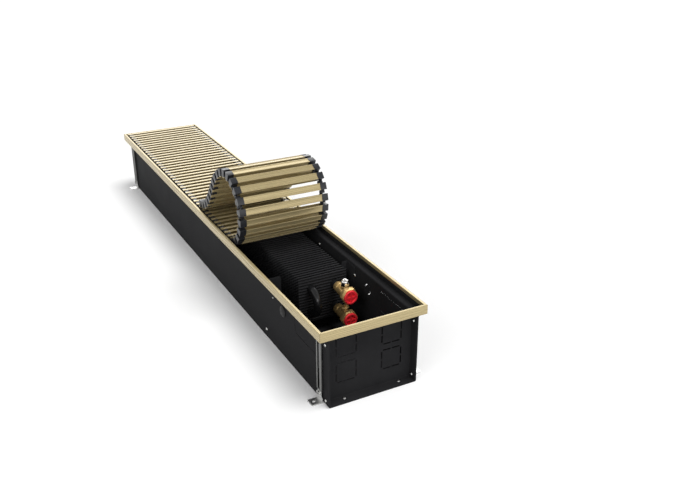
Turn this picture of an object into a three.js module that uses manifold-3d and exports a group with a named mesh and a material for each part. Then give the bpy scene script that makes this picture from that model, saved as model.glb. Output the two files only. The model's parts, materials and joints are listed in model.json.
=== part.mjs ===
// Trench convector heater with a roll-up grille, shown with the grille rolled back from the connection end.
// Millimetres, +X across, +Y along (the water connections are at the -Y end), +Z up.
// The origin is on the floor, at the centre of the trough's plan.
import * as THREE from 'three';
import { mergeVertices } from 'three/addons/utils/BufferGeometryUtils.js';
import Module from 'manifold-3d';

const wasm = await Module();
wasm.setup();

// ---- Driving dimensions ----

const clearance = 0.3;
const roundingStep = 0.001;

// Trim frame: an inverted U of extruded aluminium, mitred at the corners
const frameWidth = 205;
const frameLength = 1200;
const unitHeight = 150;
const frameFace = 17;
const frameWall = 1.5;
const frameLip = 5;
const frameLegDepth = 7;
const frameLegWall = 1.2;
const mitreGap = 0.15;

// Trough: folded sheet with a ledge for the grille. A strip stands along each ledge, inside the frame
const sheet = 1.2;
const ledgeReach = 14.5;
const endRecess = 18;

// Knock-outs: outlines of thin slots with bridges between them
const slotWidth = 1;
const bridge = 3;
const endKnockOut = { size: 38, rowPitch: 50, belowLedge: 10.8, fromSide: 40.4 };
const sideKnockOut = { length: 83, height: 40, belowLedge: 11.8, fromEnd: 48 };
const cableEntry = { radius: 8, fromEnd: 180, belowLedge: 33.8 };
const roundKnockOut = { radius: 10, fromEnd: 175, belowLedge: 29.8 };

// Levelling feet at the four corners
const footFromEnd = 30;
const footRail = { width: 16, depth: 5, slot: 7, bottom: 24 };
const footLeg = { width: 12, thickness: 2, belowLedge: 19.8 };
const footPlate = { width: 19, reach: 20.5, thickness: 2, rise: 12, shoulder: 4 };
const footHole = { radius: 2.75, fromTip: 7.8 };
const footTravel = 45;
const footBolt = { height: 18, shankRadius: 2.6, headRadius: 5.5, headCrown: 4.4, headThickness: 3 };
const footNut = { radius: 5, thickness: 3 };

// Heat exchanger: fins on four tubes, two high and two wide
const exchangerWidth = 101;
const exchangerSideRoom = 13;
const exchangerBottom = 25;
const exchangerTopRoom = 12;
const connectionBay = 236;
const farBay = 70;
const finPitch = 35;
const finThickness = 1;
const tubeRadius = 8;
const tubeGapX = 50;
const tubeGapZ = 48;
const tubeStub = 22;
const bendStraight = 4;

// Exchanger brackets
const bracketNearFin = 1;
const bracketFarFin = 2;
const bracketBeforeFin = 16;
const bracketLip = 20;
const bracketBelowLedge = 5;
const bracketWing = 28;
const bracketShoulder = 62;
const bracketFlange = { back: 9, length: 40, height: 36, thickness: 1.2 };

// Brass fittings with union nuts and transport caps
const socketWall = 1.8;
const socketDepth = 8;
const socketCollar = 4;
const socketShoulder = 1;
const fittingLength = 38;
const fittingRadius = 11;
const nippleRadius = 8;
const collarRadius = 11.5;
const collarThickness = 2.2;
const nutAcrossCorners = 34;
const nutLength = 12;
const nutLip = 3;
const nutBoreRadius = 12;
const capRadius = 13.5;
const capFlange = 3.2;
const capRecess = { radius: 10, depth: 2, rib: 2.6, ribBelowRim: 0.4 };
const portRadius = 7.5;
const portFromNut = 9;
const portHeight = 14.5;
const portSeat = { radius: 4.5, depth: 3 };
const ventHex = { radius: 8.5, height: 5 };
const ventDome = { radius: 7.6, straight: 3.5, shoulder: 6, shoulderRadius: 6.2 };
const ventTopFace = { radius: 3.8, height: 7 };
const bleedScrew = { radius: 2.3, length: 4, slot: 0.8, slotDepth: 1, proud: 1 };
const plugHead = { radius: 8, thickness: 2.6 };
const plugSocket = { radius: 3, depth: 1.5 };

// Rubber grommet of the cable entry
const grommet = { overlap: 2.5, inner: 2, rim: 1.5, coverRadius: 6.7, coverStart: 4, coverEnd: 5 };

// Roll-up grille: I-section slats joined at both ends by lapped plastic links
const slatPitch = 19;
const slatTop = 8.2;
const slatBase = 13.8;
const slatFlange = 1.5;
const slatWeb = 1.6;
const slatEndInset = 0.4;
const endRoom = 5.5;
const sideRoom = 3.5;
const rolledCount = 22;
const constantBends = 12;
const linkWidth = 13;
const linkStep = 2;
const linkBodyHalf = 5.4;
const linkFootHalf = 7.4;
const linkFootHeight = 8.5;
const linkLap = 0.4;
const linkEndHalf = 4.4;
const eyeRadius = 3.3;
const eyeRoot = 1;
const eyeSpread = 50;
const pivotHeight = 13;
const slatInset = 0.2;
const linkOverlap = 0.2;

// ---- Derived places ----

const halfWidth = frameWidth / 2;
const halfLength = frameLength / 2;
const ledgeTop = unitHeight - frameFace;
const ledgeBottom = ledgeTop - sheet;
const edgeInset = frameWall + clearance;
const upstandTop = unitHeight - frameWall - clearance;
const upstandOuter = halfWidth - edgeInset;
const wallOuter = upstandOuter - ledgeReach;
const wallInner = wallOuter - sheet;
const troughEnd = halfLength - edgeInset;
const plateOuter = troughEnd - endRecess;
const panelHalf = wallInner - clearance;
const cableEntryY = -halfLength + cableEntry.fromEnd;
const cableEntryZ = ledgeBottom - cableEntry.belowLedge;

const slatBottom = ledgeTop + clearance;
const linkHeight = unitHeight - slatBottom;
const grilleHalfWidth = halfWidth - frameLip - sideRoom;
const slatCount = Math.floor((frameLength - 2 * frameLip - 2 * endRoom) / slatPitch) + 1;
const flatCount = slatCount - rolledCount;
const slatRun = (slatCount - 1) * slatPitch;
const farSlatY = slatRun / 2;
const firstPivotY = farSlatY - (flatCount - 0.5) * slatPitch;
const pivotZ = slatBottom + pivotHeight;

const exchangerTop = ledgeTop - exchangerTopRoom;
const exchangerRight = wallInner - exchangerSideRoom;
const exchangerLeft = exchangerRight - exchangerWidth;
const exchangerCentreX = (exchangerLeft + exchangerRight) / 2;
const tubeMiddleZ = (exchangerBottom + exchangerTop) / 2;
const tubeRows = [tubeMiddleZ - tubeGapZ / 2, tubeMiddleZ + tubeGapZ / 2];
const tubeColumns = [exchangerCentreX - tubeGapX / 2, exchangerCentreX + tubeGapX / 2];
const exchangerNear = -halfLength + connectionBay;
const exchangerFar = halfLength - farBay;
const exchangerLength = exchangerFar - exchangerNear;
const finCount = Math.round(exchangerLength / finPitch) + 1;
const finStep = (exchangerLength - finThickness) / (finCount - 1);
const fittingStart = exchangerNear - tubeStub + socketDepth;
const nutStart = fittingStart - fittingLength - clearance * 2;
const portY = fittingStart - fittingLength + portFromNut;

// ---- Materials ----

function finish(color, roughness, metalness) {
  return new THREE.MeshStandardMaterial({ color, roughness, metalness });
}

const champagne = finish(0xc9b37c, 0.35, 0.9);
const blackPaint = finish(0x17171a, 0.5, 0.2);
const matteBlack = finish(0x0d0d0e, 0.7, 0.1);
const blackPlastic = finish(0x1d1e21, 0.45, 0);
const galvanised = finish(0xb9babb, 0.4, 0.9);
const brass = finish(0xc28d3a, 0.3, 0.95);
const redPlastic = finish(0xd4151c, 0.4, 0);
const nickel = finish(0xd8d6d0, 0.15, 1);

// ---- Shape helpers ----

const AXIS_X = new THREE.Vector3(1, 0, 0);
const AXIS_Y = new THREE.Vector3(0, 1, 0);
const AXIS_Z = new THREE.Vector3(0, 0, 1);

function signedVolume(position, triangles) {
  const a = new THREE.Vector3();
  const b = new THREE.Vector3();
  const c = new THREE.Vector3();
  let total = 0;
  for (let i = 0; i < triangles.length; i += 3) {
    a.fromBufferAttribute(position, triangles[i]);
    b.fromBufferAttribute(position, triangles[i + 1]);
    c.fromBufferAttribute(position, triangles[i + 2]);
    total += a.dot(b.cross(c));
  }
  return total / 6;
}

// A closed solid from a geometry: shared vertices merged, flat triangles dropped, faces outward.
function solid(geometry) {
  const bare = geometry.clone();
  bare.deleteAttribute('normal');
  bare.deleteAttribute('uv');
  const merged = mergeVertices(bare, 1e-4);
  const triangles = [];
  const index = merged.index.array;
  for (let i = 0; i < index.length; i += 3) {
    const [a, b, c] = [index[i], index[i + 1], index[i + 2]];
    if (a !== b && b !== c && c !== a) triangles.push(a, b, c);
  }
  if (signedVolume(merged.attributes.position, triangles) < 0) triangles.reverse();
  const vertProperties = new Float32Array(merged.attributes.position.array);
  const triVerts = new Uint32Array(triangles);
  return new wasm.Manifold(new wasm.Mesh({ numProp: 3, vertProperties, triVerts }));
}

function geometryOf(body) {
  const mesh = body.simplify(roundingStep).getMesh();
  const geometry = new THREE.BufferGeometry();
  geometry.setAttribute('position', new THREE.BufferAttribute(new Float32Array(mesh.vertProperties), 3));
  geometry.setIndex(new THREE.BufferAttribute(new Uint32Array(mesh.triVerts), 1));
  geometry.computeVertexNormals();
  return geometry;
}

function join(...geometries) {
  return geometryOf(geometries.map(solid).reduce((whole, part) => whole.add(part)));
}

function cut(geometry, ...tools) {
  return geometryOf(tools.map(solid).reduce((whole, tool) => whole.subtract(tool), solid(geometry)));
}

function box([x0, x1], [y0, y1], [z0, z1]) {
  const geometry = new THREE.BoxGeometry(x1 - x0, y1 - y0, z1 - z0);
  return geometry.translate((x0 + x1) / 2, (y0 + y1) / 2, (z0 + z1) / 2);
}

function outline(points) {
  return new THREE.Shape(points.map(([u, v]) => new THREE.Vector2(u, v)));
}

function extruded(shape, depth) {
  return new THREE.ExtrudeGeometry(shape, { depth, bevelEnabled: false, curveSegments: 4 });
}

// The outline's first coordinate is Y and its second Z.
function extrudeAlongX(shape, x0, x1) {
  const geometry = extruded(shape, x1 - x0);
  geometry.applyMatrix4(new THREE.Matrix4().makeBasis(AXIS_Y, AXIS_Z, AXIS_X));
  return geometry.translate(x0, 0, 0);
}

// The outline's first coordinate is X and its second Z.
function extrudeAlongY(shape, y0, y1) {
  const geometry = extruded(shape, y1 - y0);
  geometry.applyMatrix4(new THREE.Matrix4().makeBasis(AXIS_X, AXIS_Z, AXIS_Y.clone().negate()));
  return geometry.translate(0, y1, 0);
}

function extrudeAlongZ(shape, z0, z1) {
  return extruded(shape, z1 - z0).translate(0, 0, z0);
}

// A turned piece from [radius, distance] points. Its axis runs along +Y, from the origin.
function turned(points, sides = 12) {
  return new THREE.LatheGeometry(points.map(([r, d]) => new THREE.Vector2(r, d)), sides);
}

function rod(radius, length, sides = 12) {
  return turned([[0, 0], [radius, 0], [radius, length], [0, length]], sides);
}

// Turns a piece whose axis runs along +Y so that it points along the axis given.
function pointAlong(geometry, direction) {
  const turn = new THREE.Quaternion().setFromUnitVectors(AXIS_Y, direction.clone().normalize());
  return geometry.applyQuaternion(turn);
}

// ---- Sheet metal ----

// The slots of a rectangular knock-out, as [u0, u1, v0, v1]: one along each side, bridged at the corners.
function knockOutSlots(u0, u1, v0, v1) {
  const inset = bridge / 2;
  return [
    [u0 + inset, u1 - inset, v0, v0 + slotWidth],
    [u0 + inset, u1 - inset, v1 - slotWidth, v1],
    [u0, u0 + slotWidth, v0 + inset, v1 - inset],
    [u1 - slotWidth, u1, v0 + inset, v1 - inset],
  ];
}

// Half of a ring-shaped slot, as an outline round the point given.
function ringSlot(u, v, radius, startAngle) {
  const sweep = Math.PI - bridge / radius;
  const shape = new THREE.Shape();
  shape.absarc(u, v, radius, startAngle, startAngle + sweep, false);
  shape.absarc(u, v, radius - slotWidth, startAngle + sweep, startAngle, true);
  return shape;
}

function troughSection() {
  const half = [
    [wallOuter, 0],
    [wallOuter, ledgeBottom],
    [upstandOuter, ledgeBottom],
    [upstandOuter, ledgeTop],
    [wallInner, ledgeTop],
    [wallInner, sheet],
  ];
  const mirrored = half.map(([x, z]) => [-x, z]).reverse();
  return outline([...half, ...mirrored]);
}

function trough() {
  const wallSpans = [[-wallOuter - 1, -wallInner + 1], [wallInner - 1, wallOuter + 1]];
  const tools = [];
  const near = -halfLength + sideKnockOut.fromEnd;
  const top = ledgeBottom - sideKnockOut.belowLedge;
  const slots = knockOutSlots(near, near + sideKnockOut.length, top - sideKnockOut.height, top);
  for (const span of wallSpans) {
    for (const [y0, y1, z0, z1] of slots) tools.push(box(span, [y0, y1], [z0, z1]));
  }
  const round = roundKnockOut;
  for (const startAngle of [Math.PI / 2, -Math.PI / 2]) {
    const height = ledgeBottom - round.belowLedge;
    const ring = ringSlot(-halfLength + round.fromEnd, height, round.radius, startAngle);
    tools.push(extrudeAlongX(ring, ...wallSpans[1]));
  }
  const entry = pointAlong(rod(cableEntry.radius, sheet + 2), AXIS_X);
  tools.push(entry.translate(wallSpans[0][0], cableEntryY, cableEntryZ));
  for (const [x0] of wallSpans) {
    for (const y of [-halfLength + footFromEnd, halfLength - footFromEnd]) {
      const hole = pointAlong(rod(footBolt.shankRadius + 2 * clearance, sheet + 2, 8), AXIS_X);
      tools.push(hole.translate(x0, y, footBolt.height));
    }
  }
  return cut(extrudeAlongY(troughSection(), -troughEnd, troughEnd), ...tools);
}

// The strip that stands on the +X ledge, under the frame's rail.
function edgeStrip() {
  const foot = ledgeTop + clearance;
  return box([upstandOuter - sheet, upstandOuter], [-troughEnd, troughEnd], [foot, upstandTop]);
}

// The panel of the -Y end: a plate with flanges turned outward and the grille's ledge on top.
function endPanel() {
  const floorTop = sheet + clearance;
  const plateInner = plateOuter - sheet;
  const section = outline([
    [-troughEnd, floorTop],
    [-plateInner, floorTop],
    [-plateInner, ledgeTop],
    [-troughEnd + sheet, ledgeTop],
    [-troughEnd + sheet, upstandTop],
    [-troughEnd, upstandTop],
    [-troughEnd, ledgeBottom],
    [-plateOuter, ledgeBottom],
    [-plateOuter, floorTop + sheet],
    [-troughEnd, floorTop + sheet],
  ]);
  const folded = extrudeAlongX(section, -panelHalf, panelHalf);
  const sides = [-1, 1].map((side) => {
    const across = [side * panelHalf, side * (panelHalf - sheet)].sort((a, b) => a - b);
    return box(across, [-troughEnd, -plateInner], [floorTop, ledgeTop]);
  });
  const through = [-plateOuter - 1, -plateInner + 1];
  const half = endKnockOut.size / 2;
  const columnX = panelHalf - endKnockOut.fromSide;
  const upperRow = ledgeBottom - endKnockOut.belowLedge;
  const tools = [];
  for (const column of [-columnX, columnX]) {
    for (const top of [upperRow, upperRow - endKnockOut.rowPitch]) {
      const slots = knockOutSlots(column - half, column + half, top - endKnockOut.size, top);
      for (const [x0, x1, z0, z1] of slots) tools.push(box([x0, x1], through, [z0, z1]));
    }
  }
  return cut(join(folded, ...sides), ...tools);
}

// One rail of the trim frame on its +X side: the section runs along Y and is mitred at both ends.
function frameRail(across, along) {
  const section = outline([
    [0, unitHeight - frameFace],
    [-frameWall, unitHeight - frameFace],
    [-frameWall, unitHeight - frameWall],
    [-frameLip + frameLegWall, unitHeight - frameWall],
    [-frameLip + frameLegWall, unitHeight - frameLegDepth],
    [-frameLip, unitHeight - frameLegDepth],
    [-frameLip, unitHeight],
    [0, unitHeight],
  ]);
  const rail = extrudeAlongY(section, -1, 1);
  const position = rail.attributes.position;
  for (let i = 0; i < position.count; i += 1) {
    position.setY(i, position.getY(i) * (along + position.getX(i) - mitreGap));
  }
  return geometryOf(solid(rail.translate(across, 0, 0)));
}

// ---- Levelling feet, built for the +X side and centred on Y = 0 ----

const railInner = wallOuter + clearance;
const railOuter = railInner + footRail.depth;
const legInner = railInner + sheet + clearance;
const legOuter = legInner + footLeg.thickness;

function footRailChannel() {
  const w = footRail.width / 2;
  const s = footRail.slot / 2;
  return extrudeAlongZ(outline([
    [railInner, -w],
    [railOuter, -w],
    [railOuter, -s],
    [railOuter - sheet, -s],
    [railOuter - sheet, -w + sheet],
    [railInner + sheet, -w + sheet],
    [railInner + sheet, w - sheet],
    [railOuter - sheet, w - sheet],
    [railOuter - sheet, s],
    [railOuter, s],
    [railOuter, w],
    [railInner, w],
  ]), footRail.bottom, ledgeBottom - clearance);
}

function footBracket() {
  const w = footLeg.width / 2;
  const p = footPlate.width / 2;
  const shoulder = footPlate.rise - footPlate.shoulder;
  const top = ledgeBottom - footLeg.belowLedge;
  const leg = outline([[-p, 0], [p, 0], [p, shoulder], [w, footPlate.rise], [w, top],
    [-w, top], [-w, footPlate.rise], [-p, shoulder]]);
  const slotRadius = footBolt.shankRadius + clearance;
  const slot = new THREE.Path();
  slot.absarc(0, footBolt.height, slotRadius, Math.PI, 2 * Math.PI, false);
  slot.absarc(0, footBolt.height + footTravel, slotRadius, 0, Math.PI, false);
  leg.holes.push(slot);
  const tip = legInner + footPlate.reach;
  const plate = box([legInner, tip], [-p, p], [0, footPlate.thickness]);
  const hole = pointAlong(rod(footHole.radius, footPlate.thickness + 2, 10), AXIS_Z);
  hole.translate(tip - footHole.fromTip, 0, -1);
  return cut(join(extrudeAlongX(leg, legInner, legOuter), plate), hole);
}

// Head outside the leg, shank through the leg's slot and the wall, nut inside the trough.
function footBoltSpool() {
  const b = footBolt;
  const inner = wallInner - clearance;
  const outer = legOuter + clearance;
  const profile = [
    [0, inner - footNut.thickness],
    [footNut.radius, inner - footNut.thickness],
    [footNut.radius, inner],
    [b.shankRadius, inner],
    [b.shankRadius, outer],
    [b.headRadius, outer],
    [b.headCrown, outer + b.headThickness],
    [0, outer + b.headThickness],
  ];
  return geometryOf(solid(pointAlong(turned(profile, 8), AXIS_X).translate(0, 0, b.height)));
}

// ---- Heat exchanger ----

function heatExchanger() {
  const across = [exchangerLeft, exchangerRight];
  const pieces = [];
  for (let i = 0; i < finCount; i += 1) {
    const y = exchangerNear + i * finStep;
    pieces.push(box(across, [y, y + finThickness], [exchangerBottom, exchangerTop]));
  }
  for (const x of tubeColumns) {
    for (const z of tubeRows) {
      // inside the pack, square collars stand round the tubes
      const r = tubeRadius;
      pieces.push(box([x - r, x + r], [exchangerNear, exchangerFar], [z - r, z + r]));
    }
  }
  for (const z of tubeRows) {
    const stub = pointAlong(rod(tubeRadius, tubeStub + finThickness), AXIS_Y.clone().negate());
    pieces.push(stub.translate(tubeColumns[1], exchangerNear + finThickness, z));
  }
  return join(...pieces);
}

// The centre line of a half-circle bend with straight ends, in the XZ plane: it starts at the origin,
// rises along +Z and comes back down at X = span.
class ReturnBend extends THREE.Curve {
  constructor(span, straight) {
    super();
    this.span = span;
    this.straight = straight;
  }

  getPoint(t, target = new THREE.Vector3()) {
    const radius = this.span / 2;
    const arc = Math.PI * radius;
    const s = t * (arc + 2 * this.straight);
    if (s <= this.straight) return target.set(0, 0, s);
    if (s >= this.straight + arc) return target.set(this.span, 0, 2 * this.straight + arc - s);
    const angle = (s - this.straight) / radius;
    return target.set(radius - radius * Math.cos(angle), 0, this.straight + radius * Math.sin(angle));
  }
}

// A bend that leaves its tube in the direction of along and returns a span away in the direction of across.
function tubeBend(span, along, across) {
  const section = new THREE.Shape();
  section.absarc(0, 0, tubeRadius, 0, 2 * Math.PI, false);
  const path = new ReturnBend(span, bendStraight);
  const bend = new THREE.ExtrudeGeometry(section, { steps: 9, curveSegments: 4, extrudePath: path });
  bend.applyMatrix4(new THREE.Matrix4().makeBasis(across, along.clone().cross(across), along));
  return geometryOf(solid(bend));
}

// A sheet bracket across the trough at Y = 0, cut out for the exchanger: a fin stands on the lip bent
// from the edge under it, and flanges are bent along the walls.
function exchangerBracket() {
  const left = exchangerLeft - 2 * clearance;
  const right = exchangerRight + 2 * clearance;
  const seat = exchangerBottom - clearance;
  const bracketTop = ledgeTop - bracketBelowLedge;
  const plate = extrudeAlongY(outline([
    [-panelHalf, sheet + clearance],
    [panelHalf, sheet + clearance],
    [panelHalf, bracketTop],
    [right, bracketTop],
    [right, seat],
    [left, seat],
    [left, bracketShoulder],
    [-panelHalf + bracketWing, bracketShoulder],
    [-panelHalf + bracketWing, bracketTop],
    [-panelHalf, bracketTop],
  ]), 0, sheet);
  const lip = box([left, right], [0, bracketLip], [seat - sheet, seat]);
  const f = bracketFlange;
  const flanges = [-1, 1].map((side) => {
    const across = [side * panelHalf, side * (panelHalf - f.thickness)].sort((a, b) => a - b);
    return box(across, [-f.length + f.back, f.back], [bracketTop - f.height, bracketTop]);
  });
  return join(plate, lip, ...flanges);
}

// ---- Fittings: each is built along +Y from its own start and then turned to face the -Y end ----

function brassFitting() {
  const socketOuter = tubeRadius + clearance + socketWall;
  const end = fittingLength + 2 * clearance + nutLip + clearance;
  const body = turned([
    [0, socketDepth + clearance],
    [tubeRadius + clearance, socketDepth + clearance],
    [tubeRadius + clearance, 0],
    [socketOuter, 0],
    [socketOuter, socketDepth + socketCollar],
    [fittingRadius, socketDepth + socketCollar + socketShoulder],
    [fittingRadius, fittingLength],
    [nippleRadius, fittingLength],
    [nippleRadius, end],
    [collarRadius, end],
    [collarRadius, end + collarThickness],
    [0, end + collarThickness],
  ]);
  const port = pointAlong(rod(portRadius, portHeight), AXIS_Z).translate(0, fittingLength - portFromNut, 0);
  const seat = pointAlong(rod(portSeat.radius, portSeat.depth + 1), AXIS_Z);
  seat.translate(0, fittingLength - portFromNut, portHeight - portSeat.depth);
  return cut(join(body, port), seat);
}

function unionNut() {
  const hex = rod(nutAcrossCorners / 2, nutLength, 6);
  const bore = turned([
    [0, -1],
    [nippleRadius + clearance * 2, -1],
    [nippleRadius + clearance * 2, nutLip],
    [nutBoreRadius, nutLip],
    [nutBoreRadius, nutLength + 1],
    [0, nutLength + 1],
  ]);
  return cut(hex, bore);
}

function transportCap() {
  const plugStart = nutLip + clearance + collarThickness + clearance;
  const top = nutLength + clearance + capFlange;
  const body = turned([
    [0, plugStart],
    [nutBoreRadius - clearance, plugStart],
    [nutBoreRadius - clearance, nutLength + clearance],
    [capRadius, nutLength + clearance],
    [capRadius, top],
    [capRecess.radius, top],
    [capRecess.radius, top - capRecess.depth],
    [0, top - capRecess.depth],
  ]);
  const ribHalf = capRecess.rib / 2;
  const reach = (capRecess.radius + capRadius) / 2;
  const depth = [top - capRecess.depth - 0.5, top - capRecess.ribBelowRim];
  const cross = [
    box([-reach, reach], depth, [-ribHalf, ribHalf]),
    box([-ribHalf, ribHalf], depth, [-reach, reach]),
  ];
  return join(body, ...cross);
}

const ventTop = portSeat.depth + ventHex.height + ventTopFace.height;

function airVent() {
  const stem = rod(portSeat.radius - clearance, portSeat.depth);
  const hex = rod(ventHex.radius, ventHex.height, 6).translate(0, portSeat.depth, 0);
  const domeStart = portSeat.depth + ventHex.height;
  const dome = turned([
    [0, domeStart - 0.5],
    [ventDome.radius, domeStart - 0.5],
    [ventDome.radius, domeStart + ventDome.straight],
    [ventDome.shoulderRadius, domeStart + ventDome.shoulder],
    [ventTopFace.radius, domeStart + ventTopFace.height],
    [0, domeStart + ventTopFace.height],
  ]);
  const seat = rod(bleedScrew.radius + clearance, bleedScrew.length);
  seat.translate(0, ventTop + bleedScrew.proud - bleedScrew.length, 0);
  return pointAlong(cut(join(stem, hex, dome), seat), AXIS_Z);
}

function bleedScrewBody() {
  const slot = box([-bleedScrew.radius - 1, bleedScrew.radius + 1],
    [bleedScrew.length - bleedScrew.slotDepth, bleedScrew.length + 1],
    [-bleedScrew.slot / 2, bleedScrew.slot / 2]);
  return pointAlong(cut(rod(bleedScrew.radius, bleedScrew.length, 12), slot), AXIS_Z);
}

function blankingPlug() {
  const stem = rod(portSeat.radius - clearance, portSeat.depth);
  const head = rod(plugHead.radius, plugHead.thickness).translate(0, portSeat.depth, 0);
  const socket = rod(plugSocket.radius, plugSocket.depth + 1, 6);
  socket.translate(0, portSeat.depth + plugHead.thickness - plugSocket.depth, 0);
  return pointAlong(cut(join(stem, head), socket), AXIS_Z);
}

// A blind rubber grommet in the -X wall: flange, domed cover outside, groove round the sheet, flange.
function cableGrommet() {
  const neck = cableEntry.radius - clearance;
  const flange = cableEntry.radius + grommet.overlap;
  const inside = wallInner - clearance;
  const outside = wallOuter + clearance;
  const profile = [
    [0, inside - grommet.inner],
    [flange, inside - grommet.inner],
    [flange, inside],
    [neck, inside],
    [neck, outside],
    [flange, outside],
    [flange, outside + grommet.rim],
    [grommet.coverRadius, outside + grommet.coverStart],
    [0, outside + grommet.coverEnd],
  ];
  return geometryOf(solid(pointAlong(turned(profile), AXIS_X.clone().negate())));
}

// ---- Roll-up grille ----

// Slats and links are built about the pivots' height: -Y is forward, towards the next slat.
const slatTopZ = linkHeight - pivotHeight;
const linkTopZ = slatTopZ - slatFlange + linkOverlap;
const linkFootTop = linkFootHeight - pivotHeight;
const linkOutline = [
  [-linkFootHalf, -pivotHeight],
  [linkFootHalf, -pivotHeight],
  [linkBodyHalf, linkFootTop],
  [linkBodyHalf, linkTopZ],
  [-linkBodyHalf, linkTopZ],
  [-linkBodyHalf, linkFootTop],
];

// An eye's plate: it runs from inside the body to a rounded end about the pivot half a pitch away.
function eyeOutline(direction) {
  const centre = slatPitch / 2;
  const root = linkBodyHalf - eyeRoot;
  const points = [[root, -eyeRadius]];
  for (const degrees of [-eyeSpread, eyeSpread]) {
    const angle = THREE.MathUtils.degToRad(degrees);
    points.push([centre + eyeRadius * Math.cos(angle), eyeRadius * Math.sin(angle)]);
  }
  points.push([root, eyeRadius]);
  return points.map(([u, v]) => [direction * u, v]);
}

// The two links of one slat. The forward eye is on the link's inner half, the rear eye on its outer half,
// and both are narrower than the link's body.
function linkPair(hasForwardEye) {
  const outer = grilleHalfWidth;
  const inner = outer - linkWidth;
  const lapInner = (inner + outer - linkLap) / 2;
  const lapOuter = (inner + outer + linkLap) / 2;
  const body = hasForwardEye ? linkOutline : linkOutline.map(([y, z]) => [Math.max(y, -linkEndHalf), z]);
  const pieces = [];
  for (const side of [-1, 1]) {
    const span = (a, b) => [side * a, side * b].sort((p, q) => p - q);
    pieces.push(extrudeAlongX(outline(body), ...span(inner, outer)));
    pieces.push(extrudeAlongX(outline(eyeOutline(1)), ...span(lapOuter, outer - linkStep)));
    const forwardEye = outline(eyeOutline(-1));
    if (hasForwardEye) pieces.push(extrudeAlongX(forwardEye, ...span(inner + linkStep, lapInner)));
  }
  return pieces;
}

// A slat's profile: a narrow top that runs over the links, a web, and a wider base held in the links.
function slatBar() {
  const t = slatTop / 2;
  const w = slatWeb / 2;
  const b = slatBase / 2;
  const bottom = slatInset - pivotHeight;
  const baseTop = bottom + slatFlange;
  const under = slatTopZ - slatFlange;
  const section = outline([[-b, bottom], [b, bottom], [b, baseTop], [w, baseTop], [w, under], [t, under],
    [t, slatTopZ], [-t, slatTopZ], [-t, under], [-w, under], [-w, baseTop], [-b, baseTop]]);
  const end = grilleHalfWidth - slatEndInset;
  return extrudeAlongX(section, -end, end);
}

function rolledSlat(hasForwardEye) {
  return join(slatBar(), ...linkPair(hasForwardEye)).translate(0, -slatPitch / 2, 0);
}

// The flat part: its slats in place, tied at both ends by the row of links. The lapped eyes lie in line
// there, so each row is one strip of the eyes' height.
function flatGrille() {
  const nearSlatY = firstPivotY + slatPitch / 2;
  const outer = grilleHalfWidth;
  const pieces = [-1, 1].map((side) => {
    const across = [side * (outer - linkWidth), side * outer].sort((a, b) => a - b);
    return box(across, [nearSlatY, farSlatY + linkEndHalf], [-pivotHeight, eyeRadius]);
  });
  for (let i = 0; i < flatCount; i += 1) pieces.push(slatBar().translate(0, nearSlatY + i * slatPitch, 0));
  for (const link of linkPair(true)) pieces.push(link.translate(0, nearSlatY, 0));
  return join(...pieces).translate(0, 0, pivotZ);
}

// The bend at each pivot of the rolled part, in degrees: constant over the roll, then easing to a
// back-bend, so that the last slat lies upside down.
function bendsFor(bend) {
  const easing = rolledCount - constantBends;
  const share = (easing + 1) / 2;
  const backBend = (rolledCount * bend - share * bend - 180) / share;
  return Array.from({ length: rolledCount }, (_, i) => {
    const t = Math.max(0, i + 1 - constantBends) / easing;
    return bend - (bend + backBend) * t;
  });
}

// Each rolled slat's pivot and heading: 0 points at the -Y end, 90 straight up.
function layRoll(bends) {
  let heading = 0;
  let y = firstPivotY;
  let z = pivotZ;
  return bends.map((bend) => {
    heading += THREE.MathUtils.degToRad(bend);
    const place = { y, z, heading };
    y -= slatPitch * Math.cos(heading);
    z += slatPitch * Math.sin(heading);
    return place;
  });
}

// The bend at which the last slat rests on the flat part of the grille.
function restingBend() {
  const restZ = unitHeight + clearance + slatTopZ;
  let low = 180 / rolledCount * 1.6;
  let high = low * 1.6;
  for (let i = 0; i < 60; i += 1) {
    const middle = (low + high) / 2;
    if (layRoll(bendsFor(middle)).at(-1).z > restZ) low = middle;
    else high = middle;
  }
  return (low + high) / 2;
}

// ---- Assembly ----

const heater = new THREE.Group();

function place(name, geometry, material, x = 0, y = 0, z = 0, turnX = 0, turnZ = 0) {
  const mesh = new THREE.Mesh(geometry, material);
  mesh.name = name;
  mesh.position.set(x, y, z);
  mesh.rotation.set(turnX, 0, turnZ);
  heater.add(mesh);
  return mesh;
}

place('trough', trough(), blackPaint);
place('edge_strip_right', edgeStrip(), blackPaint);
place('edge_strip_left', edgeStrip(), blackPaint, 0, 0, 0, 0, Math.PI);
place('end_panel_near', endPanel(), blackPaint);
place('end_panel_far', endPanel(), blackPaint, 0, 0, 0, 0, Math.PI);

place('frame_rail_right', frameRail(halfWidth, halfLength), champagne);
place('frame_rail_left', frameRail(halfWidth, halfLength), champagne, 0, 0, 0, 0, Math.PI);
place('frame_rail_far', frameRail(halfLength, halfWidth), champagne, 0, 0, 0, 0, Math.PI / 2);
place('frame_rail_near', frameRail(halfLength, halfWidth), champagne, 0, 0, 0, 0, -Math.PI / 2);

for (const [end, endSign] of [['near', -1], ['far', 1]]) {
  for (const [side, turn] of [['left', Math.PI], ['right', 0]]) {
    const y = endSign * (halfLength - footFromEnd);
    place(`foot_rail_${end}_${side}`, footRailChannel(), blackPaint, 0, y, 0, 0, turn);
    place(`foot_bracket_${end}_${side}`, footBracket(), galvanised, 0, y, 0, 0, turn);
    place(`foot_bolt_${end}_${side}`, footBoltSpool(), galvanised, 0, y, 0, 0, turn);
  }
}

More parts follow.
